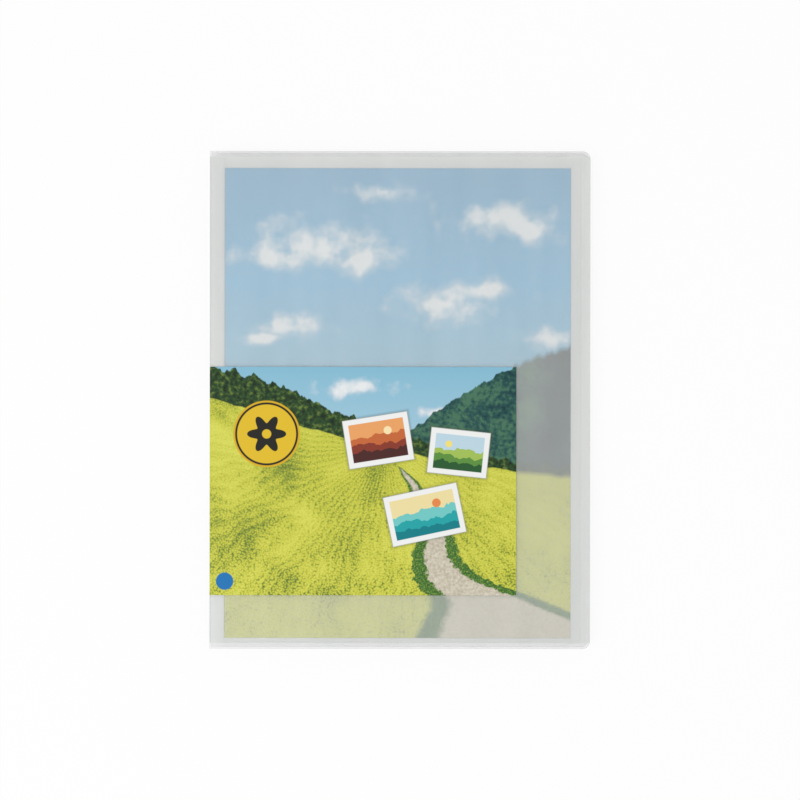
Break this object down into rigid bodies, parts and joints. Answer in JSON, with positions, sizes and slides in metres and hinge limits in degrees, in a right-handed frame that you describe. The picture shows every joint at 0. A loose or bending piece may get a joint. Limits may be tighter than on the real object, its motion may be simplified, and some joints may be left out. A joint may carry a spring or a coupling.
{
  "type": "accordion photo album",
  "caption": "Closed accordion photo album: frosted plastic covers over a chain of clear top-loading pocket panels joined by living hinges, with sheets in the pockets and a printed label.",
  "frame": {"origin": "middle of the back cover's outer face", "axes": "+Z through the closed album from the back cover to the front cover, +Y to the open tops of the pockets, +X to the free edge away from the spine"},
  "size_m": [0.2454, 0.321, 0.0122],
  "materials": {
    "frosted_cover": "frosted translucent polypropylene",
    "clear_film": "clear smooth polypropylene film",
    "white_card": "plain white card",
    "printed_title": "card printed with a plain landscape",
    "printed_label": "coated card printed with a plain landscape"
  },
  "bodies": {
    "back_cover": {"back_cover": "frosted_cover", "back_web_end": "clear_film"},
    "panel_01": {"web_panel_01": "clear_film", "pocket_front_01": "clear_film", "mounting_sheet_01": "white_card"},
    "panel_02": {"web_panel_02": "clear_film", "pocket_front_02": "clear_film", "mounting_sheet_02": "white_card"},
    "panel_03": {"web_panel_03": "clear_film", "pocket_front_03": "clear_film", "mounting_sheet_03": "white_card"},
    "panel_04": {"web_panel_04": "clear_film", "pocket_front_04": "clear_film", "mounting_sheet_04": "white_card"},
    "panel_05": {"web_panel_05": "clear_film", "pocket_front_05": "clear_film", "mounting_sheet_05": "white_card"},
    "panel_06": {"web_panel_06": "clear_film", "pocket_front_06": "clear_film", "mounting_sheet_06": "white_card"},
    "panel_07": {"web_panel_07": "clear_film", "pocket_front_07": "clear_film", "mounting_sheet_07": "white_card"},
    "panel_08": {"web_panel_08": "clear_film", "pocket_front_08": "clear_film", "mounting_sheet_08": "white_card"},
    "panel_09": {"web_panel_09": "clear_film", "pocket_front_09": "clear_film", "mounting_sheet_09": "white_card"},
    "panel_10": {"web_panel_10": "clear_film", "pocket_front_10": "clear_film", "title_sheet": "printed_title"},
    "front_cover": {"front_web_end": "clear_film", "front_cover": "frosted_cover", "label_sheet": "printed_label"}
  },
  "joints": [
    {"name": "crease_00_spine", "type": "hinge", "parent": "panel_01", "child": "back_cover", "pos_m": [-0.12275, 0, 0.001], "axis": [0, 1, 0], "range_deg": [0, 180]},
    {"name": "crease_01_free", "type": "hinge", "parent": "panel_02", "child": "panel_01", "pos_m": [0.12275, 0, 0.002], "axis": [0, -1, 0], "range_deg": [0, 180]},
    {"name": "crease_02_spine", "type": "hinge", "parent": "panel_03", "child": "panel_02", "pos_m": [-0.12275, 0, 0.003], "axis": [0, 1, 0], "range_deg": [0, 180]},
    {"name": "crease_03_free", "type": "hinge", "parent": "panel_04", "child": "panel_03", "pos_m": [0.12275, 0, 0.004], "axis": [0, -1, 0], "range_deg": [0, 180]},
    {"name": "crease_04_spine", "type": "hinge", "parent": "panel_05", "child": "panel_04", "pos_m": [-0.12275, 0, 0.005], "axis": [0, 1, 0], "range_deg": [0, 180]},
    {"name": "crease_05_free", "type": "hinge", "parent": "panel_06", "child": "panel_05", "pos_m": [0.12275, 0, 0.006], "axis": [0, -1, 0], "range_deg": [0, 180]},
    {"name": "crease_06_spine", "type": "hinge", "parent": "panel_06", "child": "panel_07", "pos_m": [-0.12275, 0, 0.007], "axis": [0, -1, 0], "range_deg": [0, 180]},
    {"name": "crease_07_free", "type": "hinge", "parent": "panel_07", "child": "panel_08", "pos_m": [0.12275, 0, 0.008], "axis": [0, 1, 0], "range_deg": [0, 180]},
    {"name": "crease_08_spine", "type": "hinge", "parent": "panel_08", "child": "panel_09", "pos_m": [-0.12275, 0, 0.009], "axis": [0, -1, 0], "range_deg": [0, 180]},
    {"name": "crease_09_free", "type": "hinge", "parent": "panel_09", "child": "panel_10", "pos_m": [0.12275, 0, 0.01], "axis": [0, 1, 0], "range_deg": [0, 180]},
    {"name": "crease_10_spine", "type": "hinge", "parent": "panel_10", "child": "front_cover", "pos_m": [-0.12275, 0, 0.011], "axis": [0, -1, 0], "range_deg": [0, 180]}
  ]
}
